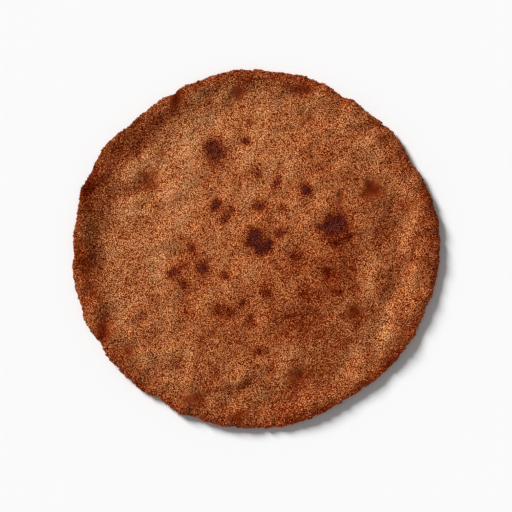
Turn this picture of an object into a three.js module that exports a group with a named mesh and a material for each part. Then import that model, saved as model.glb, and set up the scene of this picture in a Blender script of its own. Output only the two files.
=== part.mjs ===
// A chapati: a round of unleavened wholemeal flatbread, rolled out by hand and dry-baked.
//
// It is one solid, in millimetres, with +Z up. It lies on its flat underside at z = 0,
// and the origin is under the middle of its bounding box. The baked top is a shallow dish:
// a soft, uneven middle, a low moat round it, and a thick raised lip that bends down to
// a crumbly edge.

import * as THREE from 'three';
import { ImprovedNoise } from 'three/addons/math/ImprovedNoise.js';

// ---------- Driving dimensions, in millimetres ----------

const DIAMETER = 180; // mean width of the round
const MIDDLE_THICKNESS = 4.1; // dough between the soft dents of the middle
const MOAT_DEPTH = 0.6; // how far the moat lies below the middle
const MOAT_WIDTH = 36; // from the edge in to where the middle begins
const SHOULDER = 5.5; // plan width of the rounding from the lip to the edge
const NOSE_HEIGHT = 2.3; // mean height of the outermost point of the edge
const UNDERCUT = 3.5; // plan width of the rounding below the edge
const CRUMB = 6; // wavelength of the crumbs along the edge
const CRUMB_DEPTH = 0.7; // how far they move the edge in and out, from nick to crumb
const NOSE_SWAY = 0.8; // how far they move its outermost point up and down

// ---------- The surface mesh ----------

const TOP_RINGS = 36; // ring k has 6k points, so the triangles stay near equilateral
const SHOULDER_STEPS = 3; // bands between the top and the outermost point
const UNDERCUT_STEPS = 2; // bands between the outermost point and the flat underside
const UNDERSIDE_RINGS = TOP_RINGS / 2;
const TURN = 2 * Math.PI;

// The hand-rolled outline: bearing in degrees, and how far the edge is outside the mean
// circle in millimetres. It has lobes, nicks and a few straight runs.
const OUTLINE = [
  [0, 1.8], [8, 1.9], [16, 1.1], [23, -0.2], [27, -1.2], [33, -1.3], [37, -0.6], [46, -1.4],
  [52, -2.7], [56, -1.2], [60, -2.6], [68, -1.1], [76, -0.8], [87, -1.2], [91, 0.0], [96, 0.2],
  [104, -0.5], [113, -1.0], [120, -2.0], [127, -2.0], [137, -1.3], [141, 0.5], [146, 1.6],
  [155, 1.2], [160, 2.9], [167, 1.8], [180, 1.4], [190, 2.8], [197, 2.6], [204, 3.2],
  [211, 1.5], [218, 2.0], [229, 1.9], [237, -0.6], [244, 1.0], [250, 0.0], [257, 0.7],
  [264, -0.2], [278, -0.3], [293, -1.0], [298, -2.1], [310, -1.7], [321, -0.8], [333, 0.2],
  [341, -0.4], [348, 1.0],
];

// The lip: bearing in degrees, how far in from the edge the middle of its inner slope lies,
// how wide that slope is, and how far the crest stands above the middle of the bread. It is
// broad on the right, where the dough was folded over, and low along the upper left.
const LIP = [
  [0, 17.5, 7, 2.1], [8, 14, 6, 2.2], [16, 10.5, 6, 2.2], [30, 9, 8, 1.9], [60, 9, 10, 1.5],
  [90, 10, 12, 1.2], [135, 11, 15, 0.9], [165, 12, 15, 1.0], [195, 10.5, 12, 1.3],
  [225, 8.5, 9, 1.7], [270, 8, 8, 2.0], [295, 9, 8, 2.1], [312, 12.5, 8, 2.1],
  [328, 13, 7, 2.2], [337, 15.5, 7, 2.2], [346, 12.5, 6, 2.2], [352, 15, 6, 2.2],
];

// Swells (positive) and dents (negative) left by the rolling pin, fingers and steam:
// centre x and y, half length and half width, the bearing of the length, and height.
const SWELLS = [
  [66, 9, 13, 5, 60, -0.9],
  [62, -15, 12, 5, 80, 1.4],
  [71, -17, 11, 4.5, 68, -0.9],
  [48, -13, 14, 5, 88, -0.9],
  [57, -38, 9, 7, 40, -0.6],
  [50, -32, 3.6, 3.2, 0, -0.6],
  [42.5, 27, 5, 2.8, 80, -0.6],
  [42, 41, 7, 3, 40, 0.9],
  [49, 36, 6, 3, 25, -0.6],
  [58, 29, 5, 4.5, 0, -0.7],
  [56, 50, 8, 5.5, 20, 1.0],
  [65, 50, 4, 2.6, 110, -0.5],
  [25, 78, 6, 4, 20, -0.8],
  [35, 77, 5, 4, 60, 0.8],
  [8, 66, 12, 7, 80, 0.7],
  [-7, 77, 5, 3.5, 45, -0.8],
  [-24, 75, 5, 4, 30, -0.5],
  [-39, 71, 5, 3, 70, -0.8],
  [-46, 62.5, 5, 3, 50, -0.7],
  [-56, 52, 8, 4, 45, -0.7],
  [-35, 46, 14, 7, 60, 0.8],
  [-52, 34, 5, 4, 40, -0.9],
  [-57, 29, 5, 3, 20, -0.5],
  [-43.5, 27, 8, 4, 50, 0.8],
  [-64, 37, 8, 4, 50, 0.8],
  [-66, 2, 20, 8, 80, 0.6],
  [-81, -8, 10, 3, 90, -0.5],
  [-74.5, -39, 6, 3.2, 75, -0.9],
  [-60, -30, 9, 8, 30, 0.6],
  [-62, -52, 5, 3, 120, -0.8],
  [-42, -52, 7, 4.5, 50, 0.8],
  [-32, -60, 10, 3, 88, 0.9],
  [-24, -64, 8, 4, 58, -0.6],
  [-29, -76.5, 5, 3, 20, -0.9],
  [-15, -79, 4, 3, 45, -0.6],
  [-8, -63.5, 6, 3.5, 55, 0.8],
  [-4, -69, 6, 3, 50, -0.7],
  [-9, -79, 5, 3, 20, 0.7],
  [15, -55, 8, 4, 70, 0.8],
  [21, -64, 5.5, 4.5, 0, -0.8],
  [26, -75, 6, 4, 90, 0.8],
  [34, -80, 5, 3, 20, -0.7],
  [23, -37, 9, 7, 20, -0.5],
  [50, -51, 7, 6, 40, 0.8],
  [62, -54, 5, 4, 60, -0.5],
  [74, -43, 8, 3, 50, -0.6],
  [-13, -17, 18, 5, 33, 0.6],
  [22, 19, 12, 7, 45, 0.5],
  [-40, 6, 16, 9, 30, 0.5],
];

// The dough's own unevenness: wavelength and height of each size of ripple, and how much
// calmer it is in the middle than near the edge.
const RIPPLES = [[34, 0.9], [15, 1.2], [8, 1.3]];
const MIDDLE_CALM = 0.6;

const noise = new ImprovedNoise();

function smoothstep(value) {
  return THREE.MathUtils.smoothstep(value, 0, 1);
}

// Smooth crumbs along the edge, about -0.5 to 0.5; each layer is a set of its own.
function crumb(angle, layer) {
  const radius = DIAMETER / 2 / CRUMB;
  return noise.noise(radius * Math.cos(angle), radius * Math.sin(angle), layer);
}

// The values of a table, each row a bearing and its values, at an angle in radians.
function valuesAt(table, angle) {
  const bearing = THREE.MathUtils.euclideanModulo(THREE.MathUtils.radToDeg(angle), 360);
  const next = table.findIndex(([at]) => at > bearing);
  const [end, ...after] = next < 0 ? table[0].with(0, 360) : table[next];
  const [start, ...before] = next < 0 ? table.at(-1) : table[next - 1];
  const along = smoothstep((bearing - start) / (end - start));
  return before.map((value, i) => THREE.MathUtils.lerp(value, after[i], along));
}

// How far the edge is from the centre.
function edgeRadius(angle) {
  const [outside] = valuesAt(OUTLINE, angle);
  return DIAMETER / 2 + outside + CRUMB_DEPTH * crumb(angle, 0.5);
}

function noseHeight(angle) {
  return NOSE_HEIGHT + NOSE_SWAY * crumb(angle, 4.5);
}

// One swell or dent: a smooth oval hump.
function swell([centreX, centreY, length, width, bearing, height], x, y) {
  const turn = THREE.MathUtils.degToRad(bearing);
  const along = (x - centreX) * Math.cos(turn) + (y - centreY) * Math.sin(turn);
  const across = (y - centreY) * Math.cos(turn) - (x - centreX) * Math.sin(turn);
  return height * Math.exp(-((along / length) ** 2) - (across / width) ** 2);
}

function ripple([wavelength, height], x, y) {
  return height * noise.noise(x / wavelength, y / wavelength, wavelength);
}

// Height of the lip and the moat, from the distance in from the edge.
function lipProfile(inward, angle) {
  const [lipWidth, slope, rise] = valuesAt(LIP, angle);
  const crest = MIDDLE_THICKNESS + rise;
  const moat = MIDDLE_THICKNESS - MOAT_DEPTH;
  const moatStart = lipWidth + slope / 2;
  const down = smoothstep((inward - lipWidth) / slope + 0.5);
  const up = smoothstep((inward - moatStart) / (MOAT_WIDTH - moatStart));
  return crest + (moat - crest) * down + (MIDDLE_THICKNESS - moat) * up;
}

// Height of the baked top inside the shoulder.
function topHeight(x, y, angle, inward) {
  const calm = THREE.MathUtils.lerp(1, MIDDLE_CALM, smoothstep(inward / MOAT_WIDTH));
  let height = lipProfile(inward, angle);
  for (const hump of SWELLS) height += swell(hump, x, y);
  for (const wave of RIPPLES) height += calm * ripple(wave, x, y);
  return height;
}

// ---------- The closed skin, ring by ring from the top's middle to the underside's ----------

const positions = [];
const triangles = [];

function addPoint(x, y, z) {
  positions.push(x, y, z);
}

function addRing(count, place) {
  const start = positions.length / 3;
  for (let i = 0; i < count; i += 1) {
    addPoint(...place((TURN * i) / count));
  }
  return { start, count };
}

function pointOf(ring, step) {
  return ring.start + (step % ring.count);
}

// Closes a ring on one point: upwards before it, downwards after it.
function addCap(ring, centre, facesUp) {
  for (let i = 0; i < ring.count; i += 1) {
    const here = pointOf(ring, i);
    const next = pointOf(ring, i + 1);
    triangles.push(centre, facesUp ? here : next, facesUp ? next : here);
  }
}

// Fills the band between two rings, stepping along whichever of them is behind.
function addBand(first, second) {
  let a = 0;
  let b = 0;
  while (a < first.count || b < second.count) {
    const corner = [pointOf(first, a), pointOf(second, b)];
    if ((b + 0.5) / second.count <= (a + 0.5) / first.count) {
      b += 1;
      triangles.push(...corner, pointOf(second, b));
    } else {
      a += 1;
      triangles.push(...corner, pointOf(first, a));
    }
  }
}

function topPoint(angle, share) {
  const radius = share * (edgeRadius(angle) - SHOULDER);
  const x = radius * Math.cos(angle);
  const y = radius * Math.sin(angle);
  return [x, y, topHeight(x, y, angle, edgeRadius(angle) - radius)];
}

// The shoulder is a quarter oval from the top down to the outermost point.
function shoulderPoint(angle, quarter) {
  const [, , rise] = topPoint(angle, 1);
  const radius = edgeRadius(angle) - SHOULDER * (1 - Math.sin(quarter));
  const height = THREE.MathUtils.lerp(noseHeight(angle), rise, Math.cos(quarter));
  return [radius * Math.cos(angle), radius * Math.sin(angle), height];
}

// The undercut is a quarter oval from the outermost point in to the flat underside.
function undercutPoint(angle, quarter) {
  const radius = edgeRadius(angle) - UNDERCUT * (1 - Math.cos(quarter));
  const height = noseHeight(angle) * (1 - Math.sin(quarter));
  return [radius * Math.cos(angle), radius * Math.sin(angle), height];
}

function undersidePoint(angle, share) {
  const radius = share * (edgeRadius(angle) - UNDERCUT);
  return [radius * Math.cos(angle), radius * Math.sin(angle), 0];
}

function buildSkin() {
  const rimCount = 6 * TOP_RINGS;
  const quarterTurn = TURN / 4;
  addPoint(...topPoint(0, 0));
  const rings = [];
  for (let k = 1; k <= TOP_RINGS; k += 1) {
    rings.push(addRing(6 * k, (angle) => topPoint(angle, k / TOP_RINGS)));
  }
  for (let step = 1; step <= SHOULDER_STEPS; step += 1) {
    const quarter = (quarterTurn * step) / SHOULDER_STEPS;
    rings.push(addRing(rimCount, (angle) => shoulderPoint(angle, quarter)));
  }
  for (let step = 1; step <= UNDERCUT_STEPS; step += 1) {
    const quarter = (quarterTurn * step) / UNDERCUT_STEPS;
    rings.push(addRing(rimCount, (angle) => undercutPoint(angle, quarter)));
  }
  for (let k = UNDERSIDE_RINGS - 1; k >= 1; k -= 1) {
    rings.push(addRing(6 * k, (angle) => undersidePoint(angle, k / UNDERSIDE_RINGS)));
  }
  addPoint(0, 0, 0);
  addCap(rings[0], 0, true);
  for (let i = 1; i < rings.length; i += 1) addBand(rings[i - 1], rings[i]);
  addCap(rings.at(-1), positions.length / 3 - 1, false);
}

// ---------- The chapati ----------

buildSkin();
const geometry = new THREE.BufferGeometry();
geometry.setAttribute('position', new THREE.Float32BufferAttribute(positions, 3));
geometry.setIndex(triangles);
geometry.computeBoundingBox();
const centre = geometry.boundingBox.getCenter(new THREE.Vector3());
geometry.translate(-centre.x, -centre.y, 0);
geometry.computeVertexNormals();

const crust = new THREE.MeshStandardMaterial({ color: '#98502b', roughness: 0.92, metalness: 0 });
const chapati = new THREE.Mesh(geometry, crust);
chapati.name = 'chapati';

const bread = new THREE.Group();
bread.add(chapati);

export default bread;
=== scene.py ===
import math

import bmesh
import bpy
import numpy as np
from mathutils import Matrix, Vector, noise


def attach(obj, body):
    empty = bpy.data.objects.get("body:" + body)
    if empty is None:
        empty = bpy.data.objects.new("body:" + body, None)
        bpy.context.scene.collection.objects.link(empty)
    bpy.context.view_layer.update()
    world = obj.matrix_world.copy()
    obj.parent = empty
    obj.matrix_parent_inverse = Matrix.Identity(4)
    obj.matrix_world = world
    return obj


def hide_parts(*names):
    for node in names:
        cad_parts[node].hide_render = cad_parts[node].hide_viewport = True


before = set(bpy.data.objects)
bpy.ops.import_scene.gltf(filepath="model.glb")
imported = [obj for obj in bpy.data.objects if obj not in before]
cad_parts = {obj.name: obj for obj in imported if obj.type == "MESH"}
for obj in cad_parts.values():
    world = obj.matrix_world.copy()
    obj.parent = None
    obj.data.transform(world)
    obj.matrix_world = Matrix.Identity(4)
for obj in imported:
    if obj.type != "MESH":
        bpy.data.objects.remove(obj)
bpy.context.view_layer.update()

# ---------- The chapati ----------
# One round of wholemeal dough, rolled by hand and baked dry, with a matt, sandy crust and
# scorched blisters. The solid's skin is refined, smoothed and roughened, and the baking is
# painted on it as attributes that the material reads, with painted light and shade among them.

MM = 0.001
SKIN_CUTS = 3  # new points along each edge of the solid's triangles
SMOOTHING = 6  # passes that round the triangles off
EDGE_BEARINGS = 180  # how finely the outline is known

# The crust's relief, in millimetres: how far apart its lumps lie, and how far they stand out.
SWELLING_SIZE = 6.5
SWELLING_LIFT = 0.34
CRUMB_SIZE = 2.2
CRUMB_LIFT = 0.12
CRAG_SIZE = 4.4  # crags are broken dough along the edge
CRAG_LIFT = 0.5
CRACK_SIZE = 1.7
CRACK_LIFT = 0.34
CRAG_REACH = 2.4  # how far in from the outline the crags and cracks go
SCORCH_SINK = 0.12
DIMPLE_SINK = 0.4
SCORCH_SMOOTH = 0.5  # the share of the fine crumb that a scorch takes away
DIMPLE_SMOOTH = 1.4
SMOOTHEST = 0.9  # the most that is taken away
NOSE_HEIGHT = 2.3  # below it nothing is pushed down, so that the underside stays flat

# Tones go from burnt, about 0.37, to pale, about 0.95.
PLAIN_TONE = 0.66
SCORCH_TONE = 0.28  # how much a full scorch takes off it
DIMPLE_TONE = 0.40
MOTTLE_TONE = 0.035
MOTTLE_SIZES = (13.0, 3.6)  # in millimetres, besides the mottle on the swellings

# Scorched blisters: centre x and y, half length and half width in millimetres, bearing in
# degrees, darkness.
SCORCHES = [
    (-21.2, 48.8, 8.2, 7.3, 95, 0.96), (-5, 53.6, 2.7, 2.5, 0, 0.92), (0, 37.8, 3.2, 2.8, 60, 0.66),
    (-25.2, 33, 2.9, 2.5, 60, 0.5), (10, 33, 5.2, 2.5, 78, 0.88), (25.4, 28.9, 3.4, 2.8, 150, 0.72),
    (23, 30.8, 5.4, 4.8, 120, 0.45), (-20.2, 21.8, 3.6, 3.3, 20, 1), (-16.2, 14.8, 3.3, 2.8, 60, 0.75),
    (-12.4, 19.2, 2.8, 2.4, 40, 0.75), (1.4, 21.2, 4.4, 3.1, 12, 0.85),
    (12.6, 20.2, 2.8, 2.4, 0, 0.76), (38.8, 11.6, 7, 5.7, 10, 1.25), (41.6, 13.8, 3.4, 3, 30, 0.4),
    (31.2, 10.2, 3.2, 2.4, 0, 0.42), (39.5, 2.8, 3.2, 2.4, 0, 0.6), (45.2, 5.4, 4, 1.8, 18, 0.52),
    (-0.8, 5.4, 5.1, 4.8, 95, 1.25), (2.4, -1.2, 4.2, 3.4, 20, 0.76), (6.4, 2.6, 3.6, 2.2, 60, 0.66),
    (11.8, 7.4, 3.3, 2.5, 20, 0.86), (19.2, -2.8, 3.6, 3.4, 0, 0.62),
    (34.8, -11.4, 4.2, 2.8, 150, 0.52), (-32.4, 0.2, 3.4, 2.8, 120, 0.78),
    (-26.6, -9.4, 3.7, 3.5, 0, 0.95), (-40, -10.8, 3.6, 3, 30, 0.6), (-43, -12.8, 2.6, 2.2, 60, 0.45),
    (-34.6, -7.6, 4, 2.8, 10, 0.42), (-36.2, -17.8, 3.1, 2.6, 150, 0.8),
    (-15.4, -14, 3.2, 2.7, 150, 0.85), (4.9, -21.8, 3.6, 2.6, 100, 0.72),
    (-6.9, -26.8, 3.1, 2.9, 0, 0.72), (-19.2, -31.4, 3.5, 2.8, 100, 0.62),
    (-12.8, -32, 3.2, 2.7, 0, 0.7), (-16.4, -28.5, 2.8, 2.2, 0, 0.34), (-4, -36, 3.1, 2.5, 70, 0.68),
    (0.9, -50.8, 3.2, 2.5, 0, 0.57), (40.2, -21.2, 3.2, 2.4, 0, 0.6), (24.2, -23, 3.8, 3.2, 0, 0.46),
    (22.4, 49.2, 2.6, 2.2, 0, 0.28), (34.2, 49.4, 3.4, 2.2, 140, 0.22), (-49.2, 21, 2.8, 2.2, 0, 0.26),
    (-38, 5, 2, 3, 0, 0.28), (-2.8, 63.8, 3, 2.4, 0, 0.48), (-8.2, 59.6, 2.6, 1.9, 20, 0.32),
]
SCORCH_CRISPNESS = 2.2

# Smooth brown dimples, where the dough sank and stayed moist: as above, then depth.
DIMPLES = [
    (58, 29.4, 5.4, 4.7, 0, 0.55), (20.6, -63.2, 5.4, 5, 0, 0.33), (48.8, -31.4, 3.9, 3.6, 0, 0.387),
    (42, 24.6, 2.3, 4, 0, 0.4), (-53, 35.6, 4.6, 3.8, 40, 0.36), (-47, 47.4, 2.4, 1.9, 0, 0.36),
    (26.6, 65.6, 2.2, 2, 0, 0.38), (62.4, 54.4, 2.4, 2, 60, 0.28), (23.4, 79.6, 5.2, 3, 10, 0.34),
    (-9, 77.8, 4.4, 3, 30, 0.44), (-40.6, 74, 5, 2.8, 68, 0.44), (-63.8, -51, 3.8, 2.4, 115, 0.38),
    (-76.4, -39.4, 5.2, 3, 85, 0.36), (-31.8, -74.8, 4.8, 3.2, 10, 0.46),
    (-9, -83.6, 4.4, 2.4, 10, 0.3), (-84, -8, 2.4, 5.5, 0, 0.12), (72.6, -43.6, 4.4, 2.6, 62, 0.2),
    (68, -53, 4.4, 2.8, 50, 0.14),
]
DIMPLE_CRISPNESS = 2.4

# Wide patches, darker or below zero paler: partly real browning, partly painted light and shade,
# paler in the upper left towards the key light, darker on the right away from it, and painted
# shadow along the left and upper-left rim. As above, then how much.
WIDE_PATCHES = [
    (43, -4, 7, 11, 0, 0.09), (36, -20, 13, 12, 0, 0.05), (28, -6, 26, 34, 0, 0.03),
    (63, 16, 11, 20, 0, 0.04), (-38, 26, 22, 26, 0, -0.09), (-60, 4, 14, 34, 0, -0.04),
    (0, 58, 30, 13, 0, -0.07), (14, 28, 18, 14, 0, -0.05), (60, 3, 9, 16, 0, 0.05),
    (22, -38, 20, 14, 0, 0.09), (48, -50, 22, 13, 30, 0.05), (12, -80, 32, 8, 0, 0.05),
    (21, -69, 10, 10, 0, 0.06), (-81, 0, 7, 34, 0, 0.05), (83, 14, 6, 14, 0, 0.05),
    (-60, 62, 10, 6, 45, 0.05), (36, -14, 12, 12, 0, 0.03), (22, 80, 8, 5, 0, 0.03),
    (-14, -64, 22, 12, 0, 0.05), (-79, 24, 5, 20, 15, 0.05), (-53, 57, 9, 4.5, 42, 0.05),
    (-22, -40, 14, 9, 0, 0.03), (8, -82, 26, 5, 0, 0.06), (78, 6, 8, 20, 0, 0.04),
    (-44, 76, 12, 4, 30, -0.06), (-83, -30, 12, 4, 110, -0.05), (-89, 0, 8, 3, 90, 0.04),
    (44, -77, 12, 4, 30, -0.06),
]

# Small hollows, darker: partly real browning and partly painted shade in the hollows. As the wide
# patches.
HOLLOWS = [
    (-65, 46.5, 12, 3.2, 42, 0.09), (-57, 51, 4, 3.6, 0, 0.07), (-84, 29.5, 3, 4, 0, 0.12),
    (-82, 38, 3, 6, 30, 0.06), (-73, 27, 3.4, 5, 0, 0.09), (-61, 29.5, 7, 3, 30, 0.12),
    (-51, 31, 5, 3.4, 20, 0.17), (-42, 36.5, 3, 2.6, 0, 0.07), (-49, 21, 3, 2.6, 0, 0.09),
    (-38, 5, 2.4, 2.8, 0, 0.05), (-67, 7, 2.4, 2, 0, 0.05), (-60, 13, 3, 2.4, 0, 0.05),
    (-69, 15, 2, 4, 0, 0.03), (-27, 17, 3, 2.4, 0, 0.07), (4.8, 17.6, 4, 2.6, 110, 0.08),
    (6, 12, 3, 2.4, 0, 0.04), (-17, 34, 3.4, 2.4, 0, 0.04), (-20, 18.6, 3, 2, 0, 0.05),
    (-20, 42.5, 4, 3, 0, 0.04), (9, 53, 4, 2.4, 0, 0.03), (66, 17.5, 5, 4, 60, 0.05),
    (64, 6.5, 4, 4, 0, 0.08), (44.8, 35.6, 5, 2.2, 70, 0.07), (66, 45, 3, 2.4, 70, 0.07),
    (71, 50, 3.4, 3, 0, 0.06), (70.6, 40.6, 3.2, 4, 0, 0.08), (87, 18, 3, 9, 165, 0.06),
    (84.5, 25.5, 2.6, 3.4, 0, 0.1), (72, 11, 2.4, 4, 60, 0.06), (48, 12, 2.6, 3, 0, 0.05),
    (75, 21, 2.4, 3, 0, 0.03), (53, 58.6, 3.4, 2.2, 0, 0.07), (45, 54.6, 4, 2.6, 20, 0.09),
    (37, 47.4, 2.6, 3.4, 0, 0.09), (34.6, 39.4, 3.4, 3, 0, 0.09), (46.4, 49, 2.6, 2, 0, 0.05),
    (30.6, 42.4, 3, 2.4, 0, 0.05), (-79, -13, 3, 5, 0, 0.06), (-85, -15, 2, 5, 0, 0.04),
    (-82, -21, 2.4, 3, 0, 0.06), (-77.4, -44, 3, 4, -20, 0.1), (-69, -55, 4.4, 3, -45, 0.09),
    (-59, -18, 3.6, 3.2, 0, 0.1), (-56.5, -2, 2.2, 3.4, 0, 0.06), (-35.6, -27, 3, 5.4, 0, 0.1),
    (-40, -30, 2.4, 3, 0, 0.04), (-49, -33.4, 3, 2, 0, 0.05), (-40, -57, 3, 2.4, 0, 0.05),
    (-60, -7, 3, 2.4, 0, 0.04), (-34, -12, 3, 4, 0, 0.04), (22, -36.4, 7.5, 6.5, 0, 0.05),
    (18, -9, 5, 5, 0, 0.04), (-7, -22, 2, 4, 0, 0.05), (14, -27, 3.4, 3, 0, 0.03),
    (8.4, -34, 3.4, 3, 0, 0.07), (11.6, -43.6, 4, 2.4, 40, 0.08), (-25.4, -45.4, 2.6, 6.4, -15, 0.09),
    (-20, -61.6, 3, 4.4, 0, 0.11), (1, -38.8, 3, 2.2, 0, 0.08), (8, -60, 2.4, 4.4, 0, 0.1),
    (-18, -35.6, 3.4, 2.4, 0, 0.07), (-8.4, -40.4, 3, 2.4, 0, 0.05), (4.8, -15.6, 2.8, 2.4, 0, 0.06),
    (24, -7, 3.4, 3, 0, 0.05), (-15, -23.6, 4, 3, 0, 0.03), (-6, -6, 2.2, 2.2, 0, 0.04),
    (20, -37.6, 3, 2.4, 0, 0.05), (55, -31.6, 6, 2.6, 10, 0.09), (51, -37.4, 3.4, 2.6, 50, 0.08),
    (65, -15.6, 8, 3.2, 65, 0.05), (84, -6, 2.2, 3, 0, 0.08), (81, -23, 2, 2.4, 0, 0.04),
    (71.6, -34, 3, 3.4, 0, 0.09), (70.4, -26, 2.4, 2.4, 0, 0.06), (75, -11, 2, 4, 0, 0.05),
    (48.6, -15, 2.8, 9, 0, 0.06), (43.4, -46.6, 4, 3, 0, 0.08), (36, -58.6, 4, 5.4, 0, 0.09),
    (48.6, -58.4, 2.2, 4.4, 0, 0.09), (57, -51, 3, 2.4, 0, 0.05), (62, -3, 3, 2.4, 0, 0.04),
    (30.4, -52, 3.4, 3, 0, 0.05), (-48, 64, 4, 3, 50, 0.07), (-28.4, 80.6, 4, 2.6, 20, 0.06),
    (-25, 71.6, 3.4, 2.6, 30, 0.07), (7, 86, 4, 2.4, 0, 0.04), (44, 76, 4, 3, 150, 0.05),
    (57, 65, 4, 3, 130, 0.05), (-39.6, 78.4, 3.4, 3, 0, 0.07), (-41.6, 68, 2.6, 3, 0, 0.06),
    (7.8, 65, 4, 3.2, 0, 0.07), (23, 63, 3, 2.4, 0, 0.05), (29.4, 64, 3, 2.2, 0, 0.04),
    (-11, 62, 2.6, 2, 0, 0.04), (-27, -62, 2.6, 3.4, 0, 0.05), (-17, -78.4, 3, 2.8, 0, 0.08),
    (-5.4, -67.8, 3.8, 2, 30, 0.04), (-58, -68, 4, 2.6, -40, 0.07), (27.6, -62.6, 4.4, 2.6, 0, 0.09),
    (17, -85, 4, 2, 0, 0.03), (34, -70.6, 4.4, 5, 0, 0.1), (20, -72, 5, 6.4, 0, 0.06),
    (45.6, -65.6, 2.6, 3.4, 0, 0.06), (-8, -81.6, 3.6, 2.2, 20, 0.09), (-9.6, -72.4, 3, 2.2, 50, 0.08),
    (-25, -70.6, 3, 2.6, 0, 0.08), (-27, -76.6, 2.6, 2.4, 0, 0.07), (-49, -62.6, 3, 3.4, 0, 0.05),
    (-42, -66, 2.2, 3, 0, 0.04), (5.6, -63, 2.2, 2.6, 0, 0.06), (7, -77, 3, 2.4, 0, 0.05),
    (-5, 84.6, 5, 3, 0, 0.12), (-29, -79, 4, 3, 0, 0.06), (-54, -65, 4, 3, -45, 0.06),
    (52.6, 24, 3, 4, 0, 0.09), (-25.4, -18, 3, 4, 0, 0.09), (-50, 61, 4, 3, 40, 0.08),
    (-67, -51, 4, 3, -45, 0.05), (-41, 49, 4, 3, 0, 0.07), (10, 12, 2.6, 2.6, 0, 0.05),
    (84, -8, 2.6, 3.4, 0, 0.04),
]
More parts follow.
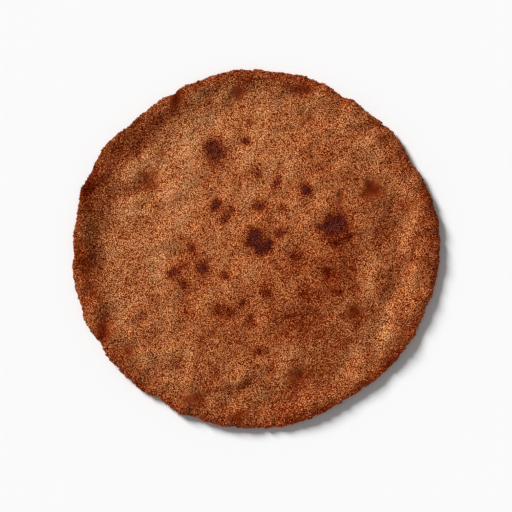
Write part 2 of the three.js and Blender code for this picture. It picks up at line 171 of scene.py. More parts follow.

# Small ridges and worn spots, paler: partly crust that stayed pale and partly painted highlight on
# slopes that face the key light, such as the crescent on the right. As the wide patches, so all
# below zero.
RIDGES = [
    (-66, 35.6, 4.4, 3, 30, -0.08), (-58, 40, 5, 2.6, 30, -0.09), (-53, 46.4, 3, 3.6, 0, -0.07),
    (-41.6, 26.4, 6, 3, 45, -0.14), (-33, 47, 4, 8, 8, -0.22), (-63, 21.6, 2.8, 2.8, 0, -0.03),
    (-41, 10.6, 2.8, 4.4, 0, -0.06), (-73.6, 6, 3, 4.4, 0, -0.05), (-32.6, 34.6, 3, 5, 0, -0.1),
    (-51, 2, 4, 2.6, 0, -0.06), (-75, 15.6, 2.4, 3, 0, -0.04), (-32, 20, 3.4, 4, 0, -0.02),
    (1.4, 56, 4, 4.6, 0, -0.1), (-5, 47, 4.4, 4, 0, -0.1), (6.8, 40.8, 4, 4.6, 0, -0.1),
    (-5, 23, 3, 4, 0, -0.13), (-1.6, 28.6, 5, 3.2, 0, -0.14), (17.4, 36.4, 3.6, 3, 0, -0.08),
    (15.6, 45, 4.4, 3.6, 0, -0.07), (16.4, 4, 3, 3.4, 0, -0.06), (-14.4, 9, 4, 2.4, 0, -0.08),
    (18, 16.6, 3, 4.6, 0, -0.05), (8, 60, 4, 2.4, 30, -0.04), (79.4, 15.6, 7, 1.9, 63, -0.08),
    (73.4, 4, 5, 1.8, 62, -0.07), (55, 53, 6.4, 4.4, 10, -0.07), (42.4, 42.4, 7.4, 2.3, 40, -0.09),
    (36, 27, 6, 5, 0, -0.04), (80, 34.6, 2.6, 4, 20, -0.06), (58, 12.6, 9, 2.4, 62, -0.07),
    (72, 28, 2.8, 2.8, 0, -0.06), (40, 32.6, 2.6, 2.2, 0, -0.07), (60, 45, 2.6, 4, 0, -0.03),
    (52, 3, 2.4, 3, 0, -0.05), (-50.4, -12.4, 3.8, 9, 0, -0.15), (-73, -2.4, 3.6, 4, 0, -0.06),
    (-70.4, -13, 3.6, 4, 0, -0.06), (-70, -28, 5.6, 3.6, 0, -0.07), (-68, -35.4, 3.4, 2.8, 0, -0.06),
    (-67, -43, 3, 2.4, 0, -0.07), (-44, -51, 4, 3, 0, -0.06), (-34, -53, 2.6, 4.4, 10, -0.13),
    (-56, -54.6, 3, 2.4, 0, -0.06), (-46, -4, 3.4, 3.4, 0, -0.11), (-63, -12, 2.4, 2.6, 0, -0.05),
    (-47.4, -54, 4.4, 2.6, 30, -0.07), (-82, -36, 2.4, 3, 0, -0.06), (-74, -48, 3.4, 2.2, -40, -0.06),
    (-2, -10.4, 4, 6, -30, -0.13), (-13, -17, 7, 2.6, 28, -0.07), (-24, -25.4, 7.4, 3, 40, -0.08),
    (-16, -5, 3.4, 3.4, 0, -0.09), (16.6, -51.6, 5, 3.8, 10, -0.13), (13.4, -57, 3, 5, 0, -0.08),
    (3, -33, 2.2, 3, 0, -0.06), (12.6, -2, 2.4, 4.4, 0, -0.06), (23, -15.4, 4, 2.4, 0, -0.05),
    (-17, -46, 3, 4.4, 0, -0.05), (-15.4, -60, 2.6, 3, 0, -0.06), (13, -30.6, 3.4, 2.4, 0, -0.03),
    (26, -49, 3.4, 2.4, 0, -0.04), (56.4, -18, 10, 2.3, 84, -0.08), (60, -6, 2.6, 3, 0, -0.06),
    (78.6, -15, 6.4, 2, 82, -0.08), (66.6, -32, 5, 2.4, 58, -0.08), (64.6, -40, 6, 2.3, 88, -0.06),
    (63.4, -47.6, 3.4, 2.6, 55, -0.09), (50.6, -50.6, 5.4, 3, 80, -0.07),
    (56.4, -59, 3.4, 2.6, 0, -0.08), (41.4, -30, 7, 2.4, 42, -0.09), (83, -31, 2.8, 12, -20, -0.11),
    (75, -47.6, 2.4, 4, -40, -0.09), (38, -43, 2.6, 2.6, 0, -0.06), (68.4, -21, 2.4, 2.6, 0, -0.04),
    (64.4, -58.6, 2.6, 2.4, 0, -0.05), (-23, 65.4, 5, 4, 0, -0.08), (-29.6, 75.8, 4, 3, 30, -0.17),
    (8.6, 72.6, 4, 3, 0, -0.06), (31.6, 77, 5, 2.2, 62, -0.09), (25, 69, 4, 2.6, 30, -0.07),
    (47, 64, 3.6, 4.6, 0, -0.09), (41.6, 59.6, 4, 2.2, 54, -0.07), (3.4, 80, 3, 2.4, 0, -0.05),
    (10, 80, 3, 2.2, 0, -0.04), (-16, 57, 3, 2.4, 0, -0.04), (-34, -63, 2.4, 7.4, 0, -0.07),
    (-9.2, -64, 4.4, 3, 50, -0.12), (-11.4, -78, 4, 2.2, 10, -0.06), (26, -82.6, 2.6, 3.6, 0, -0.12),
    (50.6, -64.6, 3.4, 2.6, 30, -0.08), (42, -60, 3, 3.4, 0, -0.05), (2.4, -72.6, 2.6, 4, 0, -0.08),
    (40.6, -75, 4.4, 2.4, 35, -0.09), (-48.6, -72.4, 2.2, 4, -30, -0.08), (-44, -64, 2.4, 3, 0, -0.04),
    (-19, -72, 3, 2.8, 0, -0.07), (-5.6, -87, 3, 2.4, 0, -0.1), (2, -87, 2.6, 2.4, 0, -0.07),
    (-14, -87, 3, 2, 0, -0.06), (-32, -81.4, 5, 2.2, 25, -0.06), (-30, -56.4, 3, 2.2, 0, -0.05),
    (9, -86, 2.6, 2.2, 0, -0.04), (31, 25.6, 3.2, 4, 0, -0.1), (-11, 49, 3.4, 4, 0, -0.07),
    (0, -6.4, 3, 2.4, 0, -0.05), (-85, 3, 2.6, 4, 0, -0.05), (4, 85, 3, 2.4, 0, -0.04),
    (2, -25, 3, 2.6, 0, -0.04), (-6, 11, 3, 2.6, 0, -0.04),
]

# Round spots of one size, browner or below zero paler, partly real browning and partly painted
# light and shade: centre x and y, how much.
SPOT_RADIUS = 3
SPOTS = [
    (-15, 3.4, 0.06), (-8, 5, 0.04), (-26, 6, 0.05), (76, 44, 0.05), (-51.4, -24.6, 0.1),
    (-56, -31, 0.06), (-53, -43, 0.05), (-65, -20, 0.05), (23, -44, 0.06), (-5, 82, 0.07),
    (16, 71, 0.06), (21, 74, 0.05), (64, -55, 0.07), (-34.6, -32.6, 0.09), (-31, -3, 0.07),
    (73, 43, 0.05), (49, 36, 0.05), (-6, 64, 0.05), (-16, 83, 0.05), (-51, -48, 0.05), (6, -54, 0.05),
    (44, 27, 0.04), (-41, 65, 0.04), (74, -40, 0.04), (-59, 48, 0.04), (31, -56, 0.04),
    (-59, 11, 0.04), (59, 61, 0.08), (-81, -24, 0.04), (-65, 0, 0.04), (-9, -47, 0.04), (7, -17, 0.04),
    (-2, -56, 0.04), (50, -41, 0.05), (-8, 75, 0.05), (27, 39, 0.05), (-1, -48, 0.04), (50, -22, 0.04),
    (35, -77, 0.04), (-57, -61, 0.04), (-23, -50, 0.04), (-70, 24, 0.05), (-24, 33, 0.05),
    (56, -37, 0.04), (51, 12, 0.04), (50, 37, 0.04), (67, 5, 0.04), (-30, -23, 0.04), (20, -43, 0.04),
    (20, 27, 0.04), (-26, -73, 0.04), (-81, -26, 0.04), (-60, -27, -0.03), (-43.4, -29.4, -0.07),
    (-23, -2, -0.04), (44, -53.6, -0.06), (55.4, -45.6, -0.06), (-17, 75.6, -0.07), (-5, 73, -0.04),
    (24.6, -76, -0.06), (13, -67, -0.06), (29, -13, -0.06), (-67, -30, -0.08), (19.6, 7.4, -0.05),
    (-40, -51, -0.05), (-32, -48, -0.04), (3, -75, -0.03), (34, -30, -0.05), (48, -51, -0.03),
    (-32, 54, -0.05), (16, 0, -0.04), (-71, -46, -0.05), (-71, -16, -0.03), (-39, 12, -0.03),
    (55, 51, -0.04), (3, 68, -0.04), (30, 75, -0.04), (33, 20.6, -0.04), (63, 18, -0.04),
    (24, 8, -0.04), (31, -16, -0.04), (12, -64, -0.03), (-32, 44, -0.07), (-41, 26, -0.06),
    (-43, -3, -0.05), (-51, -17, -0.05), (-17, 70, -0.05), (18, 47, -0.04), (-39, 11, -0.04),
    (-9, -65, -0.04), (71, -5, -0.04), (-43, -53, -0.04), (-28, 76, -0.04), (-59, -34, -0.04),
    (79, 30, -0.04), (17, -55, -0.04),
]

# Where old flour dulls the crust, or below zero is missing: as the scorches, then how much. The
# greyer patches along the upper-left brink are painted shade.
DUSTY_AND_SHADED = [
    (-80, 12, 8, 26, 0, 0.2), (-42, 65, 24, 12, 33, 0.14), (0, 82, 30, 9, 0, 0.12),
    (84, 0, 8, 34, 0, -0.12), (-62, -8, 9, 14, 0, -0.08), (56, -50, 14, 14, 0, 0.07),
    (-62, 62, 26, 4, 45, 0.3), (-85, 18, 5, 22, 0, 0.35), (18, 56, 30, 14, 0, -0.17),
    (19, -60, 10, 8, 0, -0.17), (61, -42, 10, 10, 0, 0.2), (-27, -77, 12, 5, 160, 0.2),
    (-46, -64, 8, 6, 0, 0.12), (33, -63, 9, 7, 0, 0.12), (61, 28, 6, 6, 0, 0.15),
    (55, -4, 5, 8, 0, 0.12), (74, -21, 4, 8, 0, 0.1), (75, 10, 5, 8, 0, 0.15),
    (66, -16, 5, 11, -28, -0.2), (-61, 34, 8, 5, 35, -0.2), (-79, -32, 5, 9, 20, -0.2),
    (-31, -54, 6, 10, 0, -0.17), (59, -60, 6, 5, 40, -0.15), (77, -36, 5, 7, -30, -0.17),
    (45, 38, 8, 5, 30, -0.17), (15, 83, 10, 5, 0, -0.2), (36, 77, 8, 4, 150, -0.15),
    (62, -62, 40, 5, 45, -0.17), (-86, -3, 4, 6, 0, -0.3), (-58, -33, 6, 5, 0, -0.15),
]

round_spots = [(x, y, SPOT_RADIUS, SPOT_RADIUS, 0, browner) for x, y, browner in SPOTS]
# All the patches: real browning together with painted light and shade.
BROWNING_AND_LIGHT_PATCHES = WIDE_PATCHES + HOLLOWS + RIDGES + round_spots
PATCH_CRISPNESS = 2.0
FRAY = 0.30  # how ragged the dimples are, and half as much the scorches
FRAY_SIZE = 3.2

# The top's marks end on the side wall, between these heights, and the underside's begin.
WALL_HEIGHTS = (1.6, 3.0)
TOP_SLOPE = 0.3  # what faces up more than this is all top
WALL_SLOPES = (0.3, 0.8)  # from all wall to none

# The meal lost in dimples and on the side wall, and the most that is lost anywhere.
DIMPLE_BARE = 1.6
WALL_BARE = 0.5
BAREST = 0.85


def rise(value, start, end):
    """0 up to the start, 1 from the end on, and even in between."""
    return min(max((value - start) / (end - start), 0.0), 1.0)


def between(ends, share):
    """From the first end to the second, as the share goes from 0 to 1."""
    return ends[0] + (ends[1] - ends[0]) * share


def near_edge(depth_in, reach):
    """1 on the outline and fading inwards, both in millimetres."""
    return math.exp(-((max(depth_in, 0.0) / reach) ** 2))


def lumps(place, size, octaves=2):
    """Fractal noise in the crust, from about -0.6 to 0.6."""
    return noise.fractal(place / (size * MM), 1.0, 2.0, octaves)


def from_middle(x, y, patch, fray):
    """How far a point is from a patch's middle: 1 on its edge, which is frayed."""
    centre_x, centre_y, half_length, half_width, bearing, _ = patch
    turn = math.radians(bearing)
    aside_x, aside_y = x - centre_x, y - centre_y
    along = aside_x * math.cos(turn) + aside_y * math.sin(turn)
    across = aside_y * math.cos(turn) - aside_x * math.sin(turn)
    return max(math.hypot(along / half_length, across / half_width) + fray, 0.0)


def painted(x, y, patches, crispness, fray=0.0):
    """The sum of the patches at a point, each full in its middle and soft at its edge."""
    total = 0.0
    for patch in patches:
        centre_x, centre_y, half_length, half_width, _, amount = patch
        reach = 2.0 * max(half_length, half_width)
        if abs(x - centre_x) < reach and abs(y - centre_y) < reach:
            total += amount * math.exp(-(from_middle(x, y, patch, fray) ** crispness))
    return total


def marks(place, normal):
    """The scorch, the dimple, and the browning with painted light and shade that the lists give a
    point.

    The underside browned alike: it has the top's marks, painted light and shade too, turned a quarter.
    """
    x, y = place.x / MM, place.y / MM
    fray = FRAY * lumps(place, FRAY_SIZE)
    top = 1.0 if normal.z > TOP_SLOPE else rise(place.z / MM, *WALL_HEIGHTS)
    found = np.zeros(3)
    for share, spot in ((top, (x, y)), (1.0 - top, (y, -x))):
        if share > 0.0:
            scorch = min(painted(*spot, SCORCHES, SCORCH_CRISPNESS, 0.5 * fray), 1.0)
            dimple = painted(*spot, DIMPLES, DIMPLE_CRISPNESS, fray)
            found += share * np.array((scorch, dimple, painted(*spot, BROWNING_AND_LIGHT_PATCHES, PATCH_CRISPNESS)))
    return found


# How much darker the rim is, and how far in: least, and on the upper-left side, where painted
# shadow is added to the browning.
SHADOW_SIDE = math.radians(150)
RIM_TONE = (0.045, 0.17)
RIM_REACH = (5.0, 11.5)
DARK_BRINK = math.radians(43)  # the bearing where the very brink is darkest
BRINK_TONE = 0.022
BRINK_REACH = 3.0


def rim_browning_and_shadow(place, depth_in):
    """How much darker the rim is: browning, painted shadow at the upper left, and a bit more at one
    brink.
    """
    bearing = math.atan2(place.y, place.x)
    # the share of painted shadow, most at the upper left
    shadowed = (0.5 + 0.5 * math.cos(bearing - SHADOW_SIDE)) ** 2
    band = between(RIM_TONE, shadowed) * near_edge(depth_in, between(RIM_REACH, shadowed))
    return band + BRINK_TONE * math.cos(bearing - DARK_BRINK) * near_edge(depth_in, BRINK_REACH)


# The greyer ring towards the rim is partly flour and partly painted shade.
RIM_FLOUR_AND_SHADE = 0.15
RIM_FLOUR_AND_SHADE_RADII = (42.0, 62.0)  # from where it starts to where it is full
BURNT_TONES = (0.34, 0.465)  # from where it is burnt away to where it is all left
DIMPLE_FLOUR_AND_SHADE = 0.5  # how much of it a dimple takes away


def flour_and_shade(place, tone, dimple):
    """How much an old floury dusting and painted shade dull the crust: near the rim, in patches, not
    burnt.
    """
    x, y = place.x / MM, place.y / MM
    plenty = RIM_FLOUR_AND_SHADE * rise(math.hypot(x, y), *RIM_FLOUR_AND_SHADE_RADII)
    plenty += painted(x, y, DUSTY_AND_SHADED, PATCH_CRISPNESS)
    return max(max(plenty, 0.0) * rise(tone, *BURNT_TONES) - DIMPLE_FLOUR_AND_SHADE * dimple, 0.0)


# The brink reddens a little all round from toasting, and most on the lower right, away from the key
# light, where the redness is painted warm shade.
WARM_SHADE_SIDE = math.radians(-60)
TOASTING_AND_WARM_SHADE = (0.06, 0.92)  # on the other sides, and there
TOASTING_AND_WARM_SHADE_REACH = 3.2


def toast_and_warm_shade(place, depth_in):
    """How red the brink is: toasting all round, and most on the side away from the light, painted warm
    shade.
    """
    facing = max(math.cos(math.atan2(place.y, place.x) - WARM_SHADE_SIDE), 0.0)
    return between(TOASTING_AND_WARM_SHADE, facing) * near_edge(depth_in, TOASTING_AND_WARM_SHADE_REACH)


skin = bmesh.new()
skin.from_mesh(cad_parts["chapati"].data)
bmesh.ops.remove_doubles(skin, verts=skin.verts, dist=0.001 * MM)
bmesh.ops.subdivide_edges(skin, edges=skin.edges, cuts=SKIN_CUTS, use_grid_fill=True)
for _ in range(SMOOTHING):
    bmesh.ops.smooth_vert(
        skin, verts=skin.verts, factor=0.5, use_axis_x=True, use_axis_y=True, use_axis_z=True
    )
skin.normal_update()


def bearing_step(place):
    """The bearing of a point from the middle, in steps of the outline."""
    return math.atan2(place.y, place.x) / math.tau % 1.0 * EDGE_BEARINGS


# The outline is the farthest point at each bearing.
outline = [0.0] * EDGE_BEARINGS
for vert in skin.verts:
    step = int(bearing_step(vert.co)) % EDGE_BEARINGS
    outline[step] = max(outline[step], math.hypot(vert.co.x, vert.co.y))


def inward(place):
    """How far a point is from the outline, in millimetres."""
    middle = bearing_step(place) - 0.5
    step = math.floor(middle)
    ends = (outline[step % EDGE_BEARINGS], outline[(step + 1) % EDGE_BEARINGS])
    return (between(ends, middle - step) - math.hypot(place.x, place.y)) / MM


# What is painted on the crust: its tone, which carries painted light and shade, how scorched it is,
# how much meal lies on it, how much flour and painted shade dull it, and how red its brink is,
# partly painted warm shade.
PAINTS = ("tone", "scorch", "sandy", "dust", "toasted")
layers = {name: skin.verts.layers.float.new(name) for name in PAINTS}
moves = []
for vert in skin.verts:
    place, normal = vert.co.copy(), vert.normal.copy()
    depth_in = inward(place)
    scorch, dimple, browning_and_light = marks(place, normal)
    swelling = lumps(place, SWELLING_SIZE)
    mottle = MOTTLE_TONE * (swelling + sum(lumps(place, size) for size in MOTTLE_SIZES))
    # The patches and the rim bring painted light and shade into the tone, besides the browning.
    tone = PLAIN_TONE - browning_and_light - rim_browning_and_shadow(place, depth_in) + mottle
    tone -= SCORCH_TONE * scorch + DIMPLE_TONE * dimple
    edge = near_edge(depth_in, CRAG_REACH)
    wall = edge * (1.0 - rise(normal.z, *WALL_SLOPES))
    sandy = 1.0 - min(DIMPLE_BARE * dimple + WALL_BARE * wall, BAREST)
    # Flour and the brink's redness carry painted shade as well.
    paints = (tone, scorch, sandy, flour_and_shade(place, tone, dimple), toast_and_warm_shade(place, depth_in))
    for name, paint in zip(PAINTS, paints, strict=True):
        vert[layers[name]] = paint
    crumbly = 1.0 - min(SCORCH_SMOOTH * scorch + DIMPLE_SMOOTH * dimple, SMOOTHEST)
    lift = SWELLING_LIFT * swelling + crumbly * CRUMB_LIFT * lumps(place, CRUMB_SIZE)
    lift += edge * (CRAG_LIFT * lumps(place, CRAG_SIZE, 3) + CRACK_LIFT * lumps(place, CRACK_SIZE))
    lift -= SCORCH_SINK * scorch + DIMPLE_SINK * dimple
    if place.z < NOSE_HEIGHT * MM:
        normal.z = max(normal.z, 0.0)
    moves.append(normal * lift * MM)
for vert, move in zip(skin.verts, moves, strict=True):
    vert.co += move
    vert.co.z = max(vert.co.z, 0.0)
skin.normal_update()

# The texture map has the top as one disc and the underside as a smaller one beside it: where
# each one's middle is, its radius, and how much it spreads with height, to make room for walls.
TOP_DISC = (0.36, 0.352, -0.8)
UNDER_DISC = (0.77, 0.22, 0.8)
longest = max(outline) + 3 * MM
texture_map = skin.loops.layers.uv.new("OFBake")
for face in skin.faces:
    middle, radius, spread = TOP_DISC if face.normal.z > 0 else UNDER_DISC
    face.smooth = True
    for loop in face.loops:
        flat = Vector((loop.vert.co.x, loop.vert.co.y))
        reach = (flat.length + spread * loop.vert.co.z) / longest * radius
        loop[texture_map].uv = Vector((middle, middle)) + flat.normalized() * reach

bread_mesh = bpy.data.meshes.new("chapati_crust")
skin.to_mesh(bread_mesh)
skin.free()
bread = bpy.data.objects.new("chapati_crust", bread_mesh)
bpy.context.scene.collection.objects.link(bread)


class Wire:
    """One output of a shader node. Arithmetic on it adds the Math nodes that it needs."""

    def __init__(self, tree, socket=None):
        self.tree = tree
        self.socket = socket

    def node(self, kind, settings=None, inputs=None, output=0):
        """Adds a node: first its settings, then the value or wire of each input."""
        made = self.tree.nodes.new(kind)
        for name, value in (settings or {}).items():
            if name == "stops":
                ramp = made.color_ramp.elements
                while len(ramp) < len(value):
                    ramp.new(1.0)
                for element, (position, colour) in zip(ramp, value, strict=True):
                    element.position = position
                    element.color = (*colour, 1.0)
            else:
                setattr(made, name, value)
        for name, value in (inputs or {}).items():
            if isinstance(value, Wire):
                self.tree.links.new(value.socket, made.inputs[name])
            else:
                made.inputs[name].default_value = value
        return Wire(self.tree, made.outputs[output]) if made.outputs else made

    def output(self, name):
        """Another output of the node that this one comes from."""
        return Wire(self.tree, self.socket.node.outputs[name])

    def math(self, operation, *values):
        return self.node("ShaderNodeMath", {"operation": operation}, dict(enumerate(values)))

    def __add__(self, other):
        return self.math("ADD", self, other)

    def __sub__(self, other):
        return self.math("SUBTRACT", self, other)

    def __rsub__(self, other):
        return self.math("SUBTRACT", other, self)

    def __mul__(self, other):
        return self.math("MULTIPLY", self, other)

    __radd__ = __add__
    __rmul__ = __mul__

    def clamped(self):
        return self.node("ShaderNodeClamp", {}, {"Value": self})

    def paint(self, name):
        """What is painted on the piece under that name."""
        return self.node("ShaderNodeAttribute", {"attribute_name": name}, output="Fac")

    def ramp(self, stops):
        """The colour that the stops give this value."""
        return self.node("ShaderNodeValToRGB", {"stops": stops}, {"Fac": self})

    def blend(self, share, other, mode="MIX"):
        """This colour, turning into the other one, or into its product with it, as share goes to 1."""
        settings = {"data_type": "RGBA", "blend_type": mode}
        return self.node("ShaderNodeMix", settings, {0: share, 6: self, 7: other}, 2)


def dry_material(name, looks):
    """A new material, with the inputs that looks gives its shader from the place on the bread."""
    material = bpy.data.materials.new(name)
    material.use_nodes = True
    material.node_tree.nodes.clear()
    place = Wire(material.node_tree).node("ShaderNodeTexCoord", output="Object")
    shader = place.node("ShaderNodeBsdfPrincipled", {}, looks(place))
    place.node("ShaderNodeOutputMaterial", {}, {"Surface": shader})
    return material


# Crust colours in linear light by tone, from burnt to pale: the baked dough itself, the meal on
# it, and the palest grits among the meal.
DOUGH = [
    (0.37, (0.048, 0.002, 0.0)),
    (0.46, (0.079, 0.004, 0.0)),
    (0.555, (0.108, 0.007, 0.0)),
    (0.625, (0.131, 0.011, 0.0)),
    (0.695, (0.162, 0.016, 0.001)),
    (0.79, (0.239, 0.033, 0.002)),
    (0.95, (0.468, 0.075, 0.016)),
]
MEAL = [
    (0.37, (0.134, 0.015, 0.002)),
    (0.46, (0.262, 0.044, 0.007)),
    (0.555, (0.458, 0.118, 0.028)),
    (0.625, (0.746, 0.238, 0.067)),
    (0.695, (0.99, 0.38, 0.123)),
    (0.79, (0.99, 0.519, 0.216)),
    (0.95, (1.0, 0.567, 0.246)),
]
GRIT = [
    (0.37, (0.332, 0.07, 0.022)),
    (0.46, (0.661, 0.176, 0.055)),
    (0.555, (1.0, 0.366, 0.148)),
    (0.625, (1.0, 0.44, 0.193)),
    (0.695, (1.0, 0.475, 0.207)),
    (0.79, (1.0, 0.559, 0.264)),
    (0.95, (1.0, 0.605, 0.295)),
]
CHAR = (0.040, 0.0030, 0.0014, 1.0)  # scorched dough
ASH = (0.190, 0.0480, 0.0310, 1.0)  # scorched meal
DUSTED_AND_SHADED_TINT = (0.70, 1.30, 1.70, 1.0)  # what old flour and painted shade multiply the colour by
TOASTED_AND_WARM_SHADE_TINT = (1.30, 0.72, 0.55, 1.0)  # what the brink's toasting and painted warm shade multiply it by

# The meal is a pattern of cells, each with a grain in its middle.
MEAL_CELLS = 2100.0  # in a metre
GRAIN_RADIUS = 0.455  # as a share of a cell
GRAIN_CRISPNESS = 9.0
MEAL_COVER = 0.25  # the share of the crust that the grains cover
PALEST = 0.594  # the random grey of a cell from which its grain turns pale
PALEST_CRISPNESS = 5.6
GRIT_COVER = 0.06  # the share that the palest grains cover
CHARRED = 0.5  # a crust scorched more than this turns to cinder


def baked_crust(place):
    """Sandy meal on dough, dulled by floury dusting and painted shade, red at the brink, black when
    scorched.
    """
    tone, scorch, sandy, dust, toasted = (place.paint(name) for name in PAINTS)
    cells = place.node("ShaderNodeTexVoronoi", {}, {"Vector": place, "Scale": MEAL_CELLS}, "Distance")
    grain = ((GRAIN_RADIUS - cells) * GRAIN_CRISPNESS).clamped()
    palest = ((cells.output("Color") - PALEST) * PALEST_CRISPNESS).clamped()
    meal = MEAL_COVER + sandy * (grain - MEAL_COVER)
    grit = GRIT_COVER + sandy * (grain * palest - GRIT_COVER)
    crust = tone.ramp(DOUGH).blend(meal, tone.ramp(MEAL)).blend(grit, tone.ramp(GRIT))
    # Flour dulls the colour, with painted shade, and the brink reddens, partly with painted warm
    # shade.
    crust = crust.blend(dust, DUSTED_AND_SHADED_TINT, "MULTIPLY").blend(toasted, TOASTED_AND_WARM_SHADE_TINT, "MULTIPLY")
    cinder = place.node("ShaderNodeMix", {"data_type": "RGBA"}, {0: meal, 6: CHAR, 7: ASH}, 2)
    burnt = ((scorch - CHARRED) * (1.0 / (1.0 - CHARRED))).clamped()
    bump = {"Strength": 0.25, "Distance": 0.1 * MM, "Height": sandy * grain}
    return {
        "Base Color": crust.blend(burnt, cinder),
        "Roughness": 0.95 - scorch * 0.10,
        "Normal": place.node("ShaderNodeBump", {}, bump),
        "Specular IOR Level": 0.01,
    }


bread_mesh.materials.append(dry_material("baked_crust", baked_crust))
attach(bread, "root")
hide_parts("chapati")

# ---------- Crumbs along the edge ----------
# Dough that cracked and dried at the brink as the bread was rolled: small irregular crumbs of the
# same crust, each sunk to its middle in the rim.

CRUMB_COUNT = 2600
CRUMB_REACH = 3.6  # how far in from the outline they sit, in millimetres
CRUMB_FLOOR = 1.0 * MM  # none sits lower
CRUMB_SIZES = (0.5 * MM, 1.5 * MM)  # across, from the finest to the coarsest
CRUMB_FLATNESS = (0.6, 0.9)
CROOKED = (0.72, 1.25)  # how far a corner of a crumb is from its middle, as a share
SLIMMEST = 0.6  # its width, as a share of its length
MAP_SHARE = 0.4  # its radius in the texture map, as a share of its cell


def mesh_values(items, name, kind=float, width=1):
    """One property of all the items of a mesh, as an array."""
    values = np.empty(len(items) * width, dtype=kind)
    items.foreach_get(name, values)
    return values.reshape(-1, width) if width > 1 else values


# The crust's faces, to strew things on: each one's middle, normal, area and paint.
polygons = bread_mesh.polygons
first_loops = mesh_values(polygons, "loop_start", int)
first_points = mesh_values(bread_mesh.loops, "vertex_index", int)[first_loops]
faces = {name: mesh_values(polygons, name, width=3) for name in ("center", "normal")}
faces["area"] = mesh_values(polygons, "area")
for name in PAINTS:
    faces[name] = mesh_values(bread_mesh.attributes[name].data, "value")[first_points]


def grain_shape(rings, spokes):
    """The corners and sides of a small ball: a point at each end, and rings of corners between."""
    ball = bmesh.new()
    ball.verts.new((0, 0, 1))
    for ring in range(1, rings):
        slope = math.pi * ring / rings
        turn = math.pi * (ring / spokes - 0.5)  # each ring is half a step on from the last
        seat = Matrix.Translation((0, 0, math.cos(slope))) @ Matrix.Rotation(turn, 4, "Z")
        bmesh.ops.create_circle(ball, segments=spokes, radius=math.sin(slope), matrix=seat)
    ball.verts.new((0, 0, -1))
    bmesh.ops.convex_hull(ball, input=ball.verts)
    ball.verts.index_update()
    corners = np.array([vert.co for vert in ball.verts])
    sides = np.array([[vert.index for vert in face.verts] for face in ball.faces])
    ball.free()
    return corners, sides


chance = np.random.default_rng(11)


def draw_faces(likelihood, count):
    """So many different faces of the crust, drawn by how likely each is."""
    return chance.choice(len(likelihood), count, replace=False, p=likelihood / likelihood.sum())


def strew(name, shape, spots, sizes, flatness, seed):
    """One mesh of copies of a shape, each crooked, turned at random and flat on its face."""
    corners, sides = shape
    draw = np.random.default_rng(seed)
    count = len(spots)
    up = faces["normal"][spots]
    ahead = np.cross(up, draw.normal(size=(count, 3)))
    ahead /= np.linalg.norm(ahead, axis=1)[:, None]
    axes = np.stack([ahead, np.cross(up, ahead), up], axis=1)
    local = corners * draw.uniform(*CROOKED, (count, len(corners), 1))
    girths = np.stack([np.ones(count), draw.uniform(SLIMMEST, 1.0, count), flatness], axis=1)
    local = local * (girths * sizes[:, None] / 2)[:, None]
    places = faces["center"][spots][:, None] + np.einsum("cpk,ckx->cpx", local, axes)
    places[..., 2] = np.maximum(places[..., 2], 0.0)
    shift = np.arange(count)[:, None, None] * len(corners)
    mesh = bpy.data.meshes.new(name)
    mesh.from_pydata(places.reshape(-1, 3), [], (sides + shift).reshape(-1, 3).tolist())
    for paint in PAINTS:
        layer = mesh.attributes.new(paint, "FLOAT", "POINT")
        layer.data.foreach_set("value", np.repeat(faces[paint][spots], len(corners)))
    # In the texture map each one has a cell of its own.
    row = math.ceil(math.sqrt(count))
    cell = np.arange(count)
    cells = np.stack([cell % row, cell // row], axis=1)[:, None] + 0.5
    spread = (cells + MAP_SHARE * corners[:, :2]) / row
    texture_map = mesh.uv_layers.new(name="OFBake")
    texture_map.data.foreach_set("uv", spread[:, sides.ravel()].reshape(-1))
    mesh.polygons.foreach_set("use_smooth", np.ones(len(mesh.polygons), dtype=bool))
    piece = bpy.data.objects.new(name, mesh)
    bpy.context.scene.collection.objects.link(piece)
    return piece


closeness = np.array([near_edge(inward(Vector(middle)), CRUMB_REACH) for middle in faces["center"]])
brink = faces["area"] * closeness * (faces["center"][:, 2] > CRUMB_FLOOR)
crumb_faces = draw_faces(brink, CRUMB_COUNT)
crumb_sizes = between(CRUMB_SIZES, chance.random(CRUMB_COUNT) ** 2)
crumb_flatness = chance.uniform(*CRUMB_FLATNESS, CRUMB_COUNT)
crumbs = strew("edge_crumbs", grain_shape(3, 5), crumb_faces, crumb_sizes, crumb_flatness, 12)
crumbs.data.materials.append(bread_mesh.materials[0])
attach(crumbs, "root")

# ---------- Coarse meal on the crust ----------
# Grits of the wholemeal that the bread was dusted with, baked fast to the crust and mostly paler
# than the dough. Each is an angular grain, sunk to its middle.

GRIT_COUNT = 9000
GRIT_SIZES = (0.30 * MM, 0.55 * MM)
GRIT_FLATNESS = (0.5, 0.9)
GRIT_SLOPE = 0.1  # they lie on what faces up more than this
GRIT_BLOTCHES = 700.0  # in a metre
GRIT_BROWN = 0.38  # the noise up to which a grit is brown
GRIT_CRISPNESS = 3.0


def coarse_meal(place):
    """Each grit has brown and pale parts, in the tones of the crust under it."""
    tone = place.paint("tone")
    blotch = place.node("ShaderNodeTexNoise", {}, {"Vector": place, "Scale": GRIT_BLOTCHES})
    paler = ((blotch - GRIT_BROWN) * GRIT_CRISPNESS).clamped()
    colour = tone.ramp(DOUGH).blend(paler, tone.ramp(GRIT))
    return {"Base Color": colour, "Roughness": 0.9, "Specular IOR Level": 0.03}


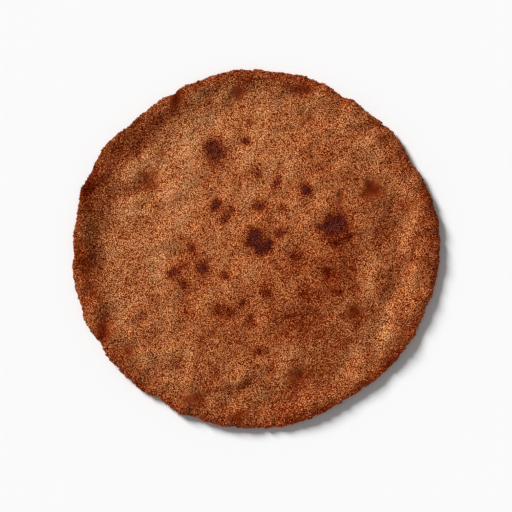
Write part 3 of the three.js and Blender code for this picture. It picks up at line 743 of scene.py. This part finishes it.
on_top = faces["normal"][:, 2] > GRIT_SLOPE
floury = faces["area"] * faces["sandy"] ** 2 * (1.0 - faces["scorch"]) * on_top
grit_faces = draw_faces(floury, GRIT_COUNT)
grit_sizes = chance.uniform(*GRIT_SIZES, GRIT_COUNT)
grit_flatness = chance.uniform(*GRIT_FLATNESS, GRIT_COUNT)
grits = strew("coarse_meal", grain_shape(2, 4), grit_faces, grit_sizes, grit_flatness, 13)
grits.data.materials.append(dry_material("coarse_meal", coarse_meal))
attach(grits, "root")

# ---------- Bran flakes ----------
# Flakes from the husk of the wheat that came with the wholemeal: brown, thin and flat. Each lies
# on the crust, baked into it to half its thickness.

BRAN_COUNT = 700
BRAN_SIZES = (0.7 * MM, 1.5 * MM)
BRAN_FLATNESS = (0.12, 0.22)
BRAN_IN_BARE = 0.3  # how many lie in bare spots, to each one on sandy crust
BRAN_BLOTCHES = 400.0  # in a metre
BRAN_MOTTLE = 0.6
BRAN_BROWN = [
    (0.45, (0.085, 0.012, 0.002)),
    (0.62, (0.190, 0.045, 0.010)),
    (0.80, (0.360, 0.120, 0.036)),
]


def bran_husk(place):
    """Mottled brown, darker where the crust under it is."""
    blotch = place.node("ShaderNodeTexNoise", {}, {"Vector": place, "Scale": BRAN_BLOTCHES})
    colour = (place.paint("tone") + (blotch - 0.5) * BRAN_MOTTLE).ramp(BRAN_BROWN)
    return {"Base Color": colour, "Roughness": 0.85, "Specular IOR Level": 0.03}


open_crust = faces["area"] * between((BRAN_IN_BARE, 1.0), faces["sandy"])
bran_faces = draw_faces(open_crust, BRAN_COUNT)
bran_sizes = chance.uniform(*BRAN_SIZES, BRAN_COUNT)
bran_flatness = chance.uniform(*BRAN_FLATNESS, BRAN_COUNT)
bran = strew("bran_flakes", grain_shape(2, 6), bran_faces, bran_sizes, bran_flatness, 14)
bran.data.materials.append(dry_material("bran", bran_husk))
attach(bran, "root")

# ---------- Floor ----------
# A plain near-white studio table top under the bread. It is a hair lower than the underside,
# so that the two faces don't lie in one plane.

FLOOR_REACH = 4.0  # from its middle to its sides
FLOOR_DROP = 0.05 * MM
floor_mesh = bpy.data.meshes.new("floor")
table_top = bmesh.new()
bmesh.ops.create_grid(table_top, x_segments=1, y_segments=1, size=FLOOR_REACH)
table_top.to_mesh(floor_mesh)
table_top.free()
floor = bpy.data.objects.new("floor", floor_mesh)
floor.location.z = -FLOOR_DROP
bpy.context.scene.collection.objects.link(floor)
floor_material = bpy.data.materials.new("studio_white")
floor_material.use_nodes = True
floor_shader = floor_material.node_tree.nodes["Principled BSDF"]
floor_shader.inputs["Base Color"].default_value = (0.93, 0.93, 0.93, 1.0)
floor_shader.inputs["Roughness"].default_value = 0.9
floor_shader.inputs["Specular IOR Level"].default_value = 0.1
floor_mesh.materials.append(floor_material)

# ---------- Light and camera ----------
# A soft key from the upper left, a surround that is white at the horizon and grey above it, and
# a camera straight overhead.

KEY_STRENGTH = 4.75
KEY_WIDTH = math.radians(20)
KEY_ELEVATION = math.radians(31)
KEY_BEARING = math.radians(135)
key = bpy.data.lights.new("key", "SUN")
key.energy = KEY_STRENGTH
key.angle = KEY_WIDTH
towards_key = Vector(
    (
        math.cos(KEY_ELEVATION) * math.cos(KEY_BEARING),
        math.cos(KEY_ELEVATION) * math.sin(KEY_BEARING),
        math.sin(KEY_ELEVATION),
    )
)
key_object = bpy.data.objects.new("key", key)
key_object.rotation_mode = "QUATERNION"
key_object.rotation_quaternion = towards_key.to_track_quat("Z", "Y")
bpy.context.scene.collection.objects.link(key_object)

SKY = [(0.05, (0.93, 0.93, 0.93)), (0.16, (0.245, 0.245, 0.245))]  # by the sine of the elevation
world = bpy.data.worlds.new("surround")
world.use_nodes = True
world.node_tree.nodes.clear()
ray = Wire(world.node_tree).node("ShaderNodeTexCoord", output="Generated")
height = ray.node("ShaderNodeSeparateXYZ", {}, {"Vector": ray}, "Z")
surround = ray.node("ShaderNodeBackground", {}, {"Color": height.ramp(SKY), "Strength": 1.0})
ray.node("ShaderNodeOutputWorld", {}, {"Surface": surround})
bpy.context.scene.world = world

FRAME_WIDTH = 255.3 * MM  # what the camera sees across, at the height of the crust
CRUST_HEIGHT = 4 * MM
CAMERA_HEIGHT = 1.1
CAMERA_SPOT = (-0.25 * MM, -3.6 * MM)
camera = bpy.data.cameras.new("overhead")
camera.sensor_width = 36.0
camera.lens = camera.sensor_width * (CAMERA_HEIGHT - CRUST_HEIGHT) / FRAME_WIDTH
camera_object = bpy.data.objects.new("overhead", camera)
camera_object.location = (*CAMERA_SPOT, CAMERA_HEIGHT)
bpy.context.scene.collection.objects.link(camera_object)
bpy.context.scene.camera = camera_object
bpy.context.scene.view_settings.view_transform = "Standard"
